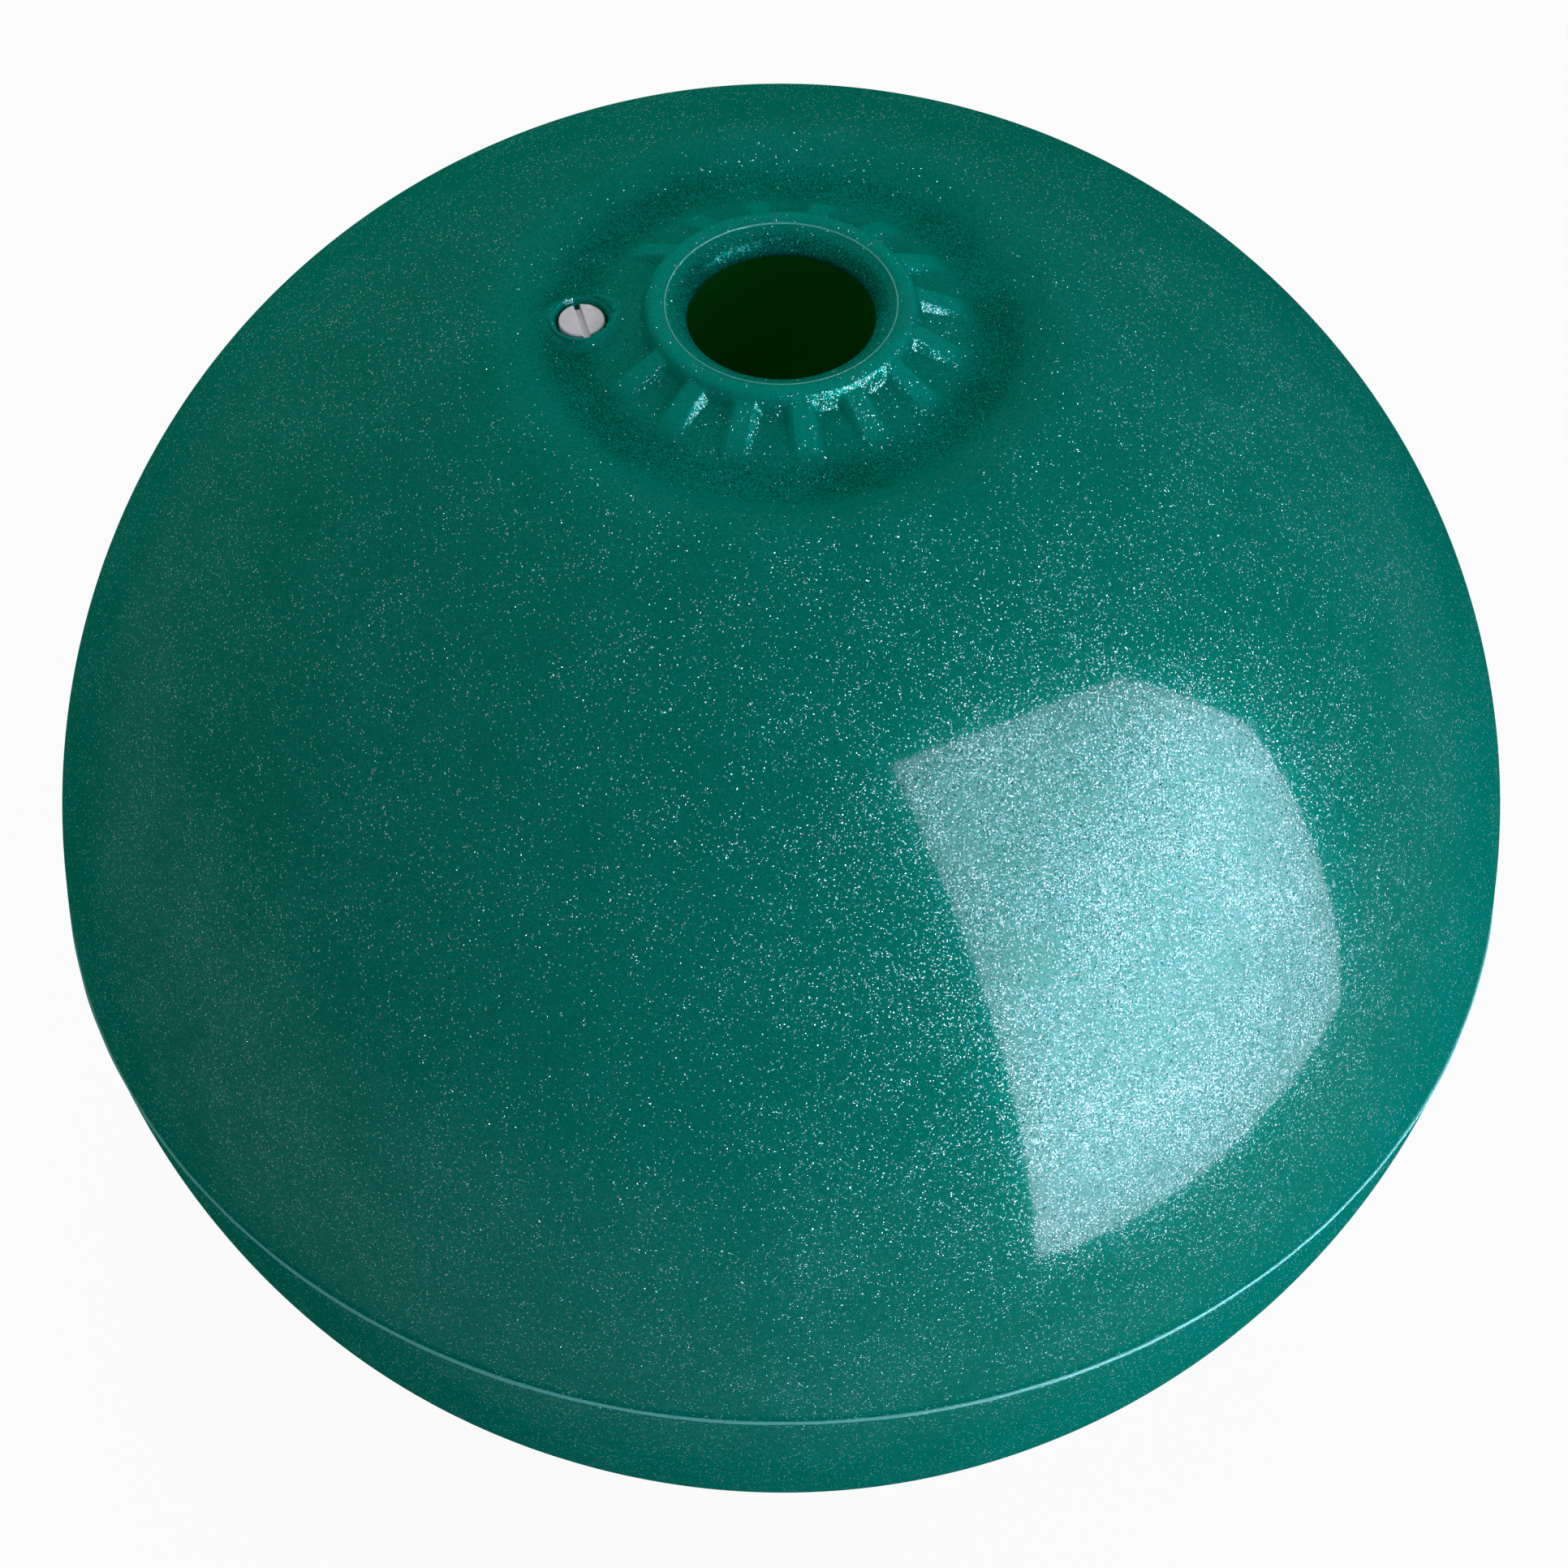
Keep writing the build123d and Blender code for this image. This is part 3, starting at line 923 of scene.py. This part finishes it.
def head_surface():
    """The plug's head: points and faces.
    Rows run along the slot: row x is a chord of the circle, and its points are v times half the chord's
    length, so the outer points lie on the circle. The height is the slot's floor inside the slot, which
    drops towards the slot's far end, and a low dome outside it, rounded down at the rim, with faint raised
    marks on each half."""
    half_slot = SLOT_HALF_WIDTH
    rounding = 0.0005
    radius = HEAD_RADIUS
    top = PLUG_HIGH[2]
    floor = top - SLOT_DEPTH
    side = np.radians(np.linspace(12, 84, 38))
    outer = radius * np.sin(side)
    edge = half_slot + np.array([0, 0.0001, 0.0003])
    outer = np.concatenate([edge, outer[outer > half_slot + 0.0004]])
    inner = np.linspace(-half_slot, half_slot, 5)
    rows = np.concatenate([-outer[::-1], inner, outer])
    in_slot = np.zeros(len(rows), bool)
    in_slot[len(outer) : len(outer) + len(inner)] = True
    v = np.sin(np.linspace(-math.pi / 2, math.pi / 2, 61))
    half_chord = np.sqrt(np.maximum(radius**2 - rows**2, 0))
    x = np.broadcast_to(rows[:, None], (len(rows), len(v)))
    y = half_chord[:, None] * v[None]
    away = np.hypot(x, y)
    height = top - 0.0005 * (away / radius) ** 2
    into = np.clip((away - (radius - rounding)) / rounding, 0, 1)
    height = height - rounding * (1 - np.sqrt(1 - into**2))
    lip = np.clip((half_slot + 0.0003 - np.abs(x)) / 0.0003, 0, 1)
    height = height - 0.00018 * lip**2
    for centre in ((3.3, 2.2), (-3.3, 1.2), (3.2, -2.4)):
        mark = np.hypot(x - centre[0] / 1000, y - centre[1] / 1000)
        height = height + 0.00022 * np.exp(-((mark / 0.0008) ** 2))
    for centre in ((-3.0, -2.4), (2.9, 4.0)):
        mark = np.hypot(x - centre[0] / 1000, y - centre[1] / 1000)
        height = height + 0.00015 * np.exp(-(((mark - 0.0011) / 0.00025) ** 2))
    run_out = smooth_step((v - 0.45) / 0.06)[None]
    height = np.where(in_slot[:, None], floor - (floor - UNDER_HEAD_LEVEL - 0.0002) * run_out, height)
    grid = np.stack([x, y, height], -1)
    count_rows, count_columns = grid.shape[:2]
    index = np.arange(count_rows * count_columns).reshape(count_rows, count_columns)
    corners = (index[:-1, :-1], index[1:, :-1], index[1:, 1:], index[:-1, 1:])
    faces = [np.stack([corner.ravel() for corner in corners], 1)]
    loop = np.concatenate([index[:, 0], index[-1, 1:-1], index[::-1, -1], index[0, -2:0:-1]])
    flat = grid.reshape(-1, 3)
    low = flat[loop].copy()
    low[:, 2] = UNDER_HEAD_LEVEL
    start = len(flat)
    count = len(loop)
    here = np.arange(count)
    after = (here + 1) % count
    faces.append(np.stack([loop[here], start + here, start + after, loop[after]], 1))
    middle = start + count
    faces.append(np.stack([start + here, np.full(count, middle), start + after], 1))
    points = np.concatenate([flat, low, [[0, 0, UNDER_HEAD_LEVEL]]])
    turn = SLOT_TURN - math.pi / 2
    turned = points.copy()
    turned[:, 0] = points[:, 0] * math.cos(turn) - points[:, 1] * math.sin(turn)
    turned[:, 1] = points[:, 0] * math.sin(turn) + points[:, 1] * math.cos(turn)
    return turned + np.array([VALVE_X, VALVE_Y, 0]), faces


def shank_surface():
    """The plug's threaded shank: points and faces.
    The radius at a height and angle is the outer radius less the thread's depth times a smooth wave of
    the height in pitches less the turn. It tapers in near the tip, and a point closes each end."""
    columns = 72
    tip = PLUG_LOW[2]
    heights = np.linspace(tip, UNDER_HEAD_LEVEL, 130)
    turns = 2 * math.pi * np.arange(columns) / columns
    phase = heights[:, None] / THREAD_PITCH - turns[None] / (2 * math.pi)
    wave = 0.5 - 0.5 * np.cos(2 * math.pi * phase)
    depth = THREAD_DEPTH * smooth_step(wave * 1.6 - 0.3)
    lead = smooth_step((heights - tip) / 0.0012)[:, None]
    radius = (SHANK_RADIUS - depth) * (0.82 + 0.18 * lead)
    points = np.stack(
        [radius * np.cos(turns), radius * np.sin(turns), np.broadcast_to(heights[:, None], radius.shape)], -1
    ).reshape(-1, 3)
    rows = len(heights)
    faces = [ring_quads((row + 1) * columns, row * columns, columns) for row in range(rows - 1)]
    here = np.arange(columns)
    after = (here + 1) % columns
    end = len(points)
    faces.append(np.stack([here, np.full(columns, end), after], 1))
    last = (rows - 1) * columns
    faces.append(np.stack([last + here, last + after, np.full(columns, end + 1)], 1))
    points = np.concatenate([points, [[0, 0, tip], [0, 0, UNDER_HEAD_LEVEL]]])
    return points + np.array([VALVE_X, VALVE_Y, 0]), faces


class BUOY_OT_valve_plug(bpy.types.Operator):
    """Make the slotted screw plug and its washer"""

    bl_idname = "buoy.valve_plug"
    bl_label = "Valve plug"

    def execute(self, context):
        colour = np.array(settings().plug_colour)
        plastic = shared_material(
            "grey_plastic",
            lambda name: plain_plastic(name, colour * 0.86, colour * 1.1, 0.42, 0.4, 420.0, 0.00008),
        )
        head_points, head_faces = head_surface()
        shank_points, shank_faces = shank_surface()
        offset = len(head_points)
        points = np.concatenate([head_points, shank_points])
        piece = put_mesh("screw_plug", points, head_faces + [block + offset for block in shank_faces])
        piece.data.set_sharp_from_angle(angle=math.radians(45))
        dress(piece, plastic, "plug", "plug_plastic", "valve_plug")

        corners = [
            (HOLE_RADIUS, WASHER_FLOOR_LEVEL, 0),
            (HOLE_RADIUS, UNDER_HEAD_LEVEL, 0.0003),
            (HEAD_RADIUS, UNDER_HEAD_LEVEL, 0.0004),
            (HEAD_RADIUS, WASHER_FLOOR_LEVEL, 0),
        ]
        ring = turned_piece("sealing_washer", rounded_path(corners, 0.0001), 96, (VALVE_X, VALVE_Y))
        dark, light = (0.008, 0.014, 0.012), (0.02, 0.03, 0.026)
        rubber = shared_material(
            "soft_rubber", lambda name: plain_plastic(name, dark, light, 0.6, 0.3, 700.0, 0.00005)
        )
        dress(ring, rubber, "plug", "washer_rubber", "valve_washer")
        return {"FINISHED"}


class BUOY_OT_stage(bpy.types.Operator):
    """Make the floor, the soft lights and the camera"""

    bl_idname = "buoy.stage"
    bl_label = "Stage"

    def execute(self, context):
        make_floor()
        make_side_light()
        make_fill()
        make_camera()
        return {"FINISHED"}


def seen_directly(tree):
    """One for rays from the camera and for mirrored or refracted ones, zero for the rest."""
    path = tree.nodes.new("ShaderNodeLightPath")
    seen = math_node(tree, "MAXIMUM", path.outputs["Is Camera Ray"], path.outputs["Is Glossy Ray"])
    return math_node(tree, "MAXIMUM", seen, path.outputs["Is Transmission Ray"])


def emission(tree, colour, strength):
    """The shader of an Emission node."""
    node = tree.nodes.new("ShaderNodeEmission")
    node.inputs["Color"].default_value = (*colour, 1)
    feed(tree, node.inputs["Strength"], strength)
    return node.outputs[0]


def make_floor():
    """A plain pale floor that looks white where no shadow falls, and fades to the backdrop far away."""
    size = 30.0
    points = np.array([(-size, -size, 0), (size, -size, 0), (size, size, 0), (-size, size, 0)], float)
    floor = put_mesh("floor", points, [np.array([[0, 1, 2, 3]])])
    material, tree, surface = new_material("floor_paper")
    paper = tree.nodes.new("ShaderNodeBsdfDiffuse")
    paper.inputs["Color"].default_value = (0.86, 0.86, 0.86, 1)
    reach = vector_node(tree, "LENGTH", object_place(tree))
    paleness = ramp(tree, reach, 1.0, settings().backdrop_strength, 0.9, 3.5, smooth=True)
    blend = tree.nodes.new("ShaderNodeMixShader")
    feed(tree, blend.inputs[0], math_node(tree, "MULTIPLY", seen_directly(tree), 0.94))
    feed(tree, blend.inputs[1], paper.outputs[0])
    feed(tree, blend.inputs[2], emission(tree, (1, 1, 1), paleness))
    feed(tree, surface, blend.outputs[0])
    floor.data.materials.append(material)


def make_side_light():
    """A tall soft panel to the right of the camera, with one upper corner cut, standing on the floor.
    Its light is brightest in a band that slants up to the right, at a height of 0.24 plus 0.56 across.
    Only mirrored rays see it."""
    foot = np.array([0.338, -0.614, 0.0])
    along = np.array([0.824, 0.567, 0.0])
    upward = np.array([0.0, 0.0, 1.0])
    band_foot, band_slope = 0.24, 0.56
    outline = [(-0.05, 1.20), (0.0, 0.0), (0.66, 0.0), (0.86, 0.64), (0.68, 1.03)]
    points = np.array([foot + along * across + upward * height for across, height in outline])
    faces = [np.array([[0, 1, 4]]), np.array([[1, 2, 4]]), np.array([[2, 3, 4]])]
    panel = put_mesh("side_light", points, faces)
    tint = (0.74, 0.74, 1.0)
    full = settings().window_strength / tint[0]
    material, tree, surface = new_material("light_cloth")
    slant = (-band_slope * along[0], -band_slope * along[1], 1.0)
    height = vector_node(tree, "DOT_PRODUCT", object_place(tree), slant)
    above = math_node(tree, "SUBTRACT", height, band_foot - band_slope * (along @ foot))
    distance = math_node(tree, "ABSOLUTE", above)
    strength = ramp(tree, distance, full * 1.25, full * 0.75, 0.05, 0.42, smooth=True)
    feed(tree, surface, emission(tree, tint, strength))
    panel.data.materials.append(material)
    panel.visible_camera = False
    panel.visible_shadow = False
    panel.visible_diffuse = False


def soft_lamp(name, shape, size, power, place, aim, colour=(1, 1, 1)):
    """A soft lamp that faces a point and isn't seen, itself or mirrored."""
    lamp = bpy.data.lights.new(name, "AREA")
    lamp.color = colour
    lamp.shape = shape
    lamp.size = size
    lamp.energy = power
    holder = bpy.data.objects.new(name, lamp)
    holder.location = place
    holder.rotation_euler = (Vector(aim) - Vector(place)).to_track_quat("-Z", "Y").to_euler()
    holder.visible_camera = False
    holder.visible_glossy = False
    bpy.context.scene.collection.objects.link(holder)


def make_fill():
    """Dim even surroundings, a soft key lamp at the right, a wide lamp overhead and two weaker ones."""
    values = settings()
    world = bpy.data.worlds.new("surroundings")
    bpy.context.scene.world = world
    world.use_nodes = True
    background = world.node_tree.nodes["Background"]
    background.inputs["Color"].default_value = (1, 1, 1, 1)
    tree = world.node_tree
    strength = ramp(tree, seen_directly(tree), values.fill_strength, values.backdrop_strength)
    feed(tree, background.inputs["Strength"], strength)
    middle = (0.0, 0.0, PARTING_LEVEL)
    soft_lamp("key", "SQUARE", 1.2, values.key_power, (0.85, -0.75, 0.55), middle, (1, 1, 1.25))
    soft_lamp("overhead", "DISK", 2.0, values.overhead_power, (-0.4, 0.2, 2.2), middle)
    soft_lamp("left", "SQUARE", 1.0, values.left_power, (-1.2, -0.3, 0.8), middle)
    soft_lamp("back", "SQUARE", 1.0, values.back_power, (0.1, 1.2, 1.3), middle)


def make_camera():
    """The photograph's viewpoint, in front and above, and the Standard view transform."""
    elevation = math.radians(51.6)
    distance = 1.0495
    camera = bpy.data.cameras.new("camera")
    camera.sensor_width = 36.0
    camera.lens = 74.5
    camera.shift_x = 0.0018
    camera.shift_y = -0.001
    camera.clip_start = 0.01
    holder = bpy.data.objects.new("camera", camera)
    holder.location = (0.0, -distance * math.cos(elevation), PARTING_LEVEL + distance * math.sin(elevation))
    holder.rotation_euler = (math.pi / 2 - elevation, 0.0, 0.0)
    bpy.context.scene.collection.objects.link(holder)
    bpy.context.scene.camera = holder
    bpy.context.scene.view_settings.view_transform = "Standard"


class BUOY_PT_sidebar(bpy.types.Panel):
    """Sidebar panel that lists the buoy's operators and settings"""

    bl_label = "Mooring buoy"
    bl_idname = "BUOY_PT_sidebar"
    bl_space_type = "VIEW_3D"
    bl_region_type = "UI"
    bl_category = "Buoy"

    def draw(self, context):
        for operator in PIECE_OPERATORS:
            self.layout.operator(operator.bl_idname)
        for name in BuoySettings.__annotations__:
            self.layout.prop(settings(), name)


PIECE_OPERATORS = (
    BUOY_OT_skin,
    BUOY_OT_tube,
    BUOY_OT_bead,
    BUOY_OT_trim,
    BUOY_OT_valve_seat,
    BUOY_OT_valve_plug,
    BUOY_OT_stage,
)
CLASSES = (BuoySettings, *PIECE_OPERATORS, BUOY_PT_sidebar)


def register():
    for cls in CLASSES:
        bpy.utils.register_class(cls)
    bpy.types.Scene.mooring_buoy = PointerProperty(type=BuoySettings)


def unregister():
    del bpy.types.Scene.mooring_buoy
    for cls in reversed(CLASSES):
        bpy.utils.unregister_class(cls)


def main():
    """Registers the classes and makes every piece."""
    register()
    bpy.ops.buoy.skin()
    bpy.ops.buoy.centre_tube()
    bpy.ops.buoy.parting_bead()
    bpy.ops.buoy.mouth_trim()
    bpy.ops.buoy.valve_seat()
    bpy.ops.buoy.valve_plug()
    bpy.ops.buoy.stage()


if __name__ == "__main__":
    main()
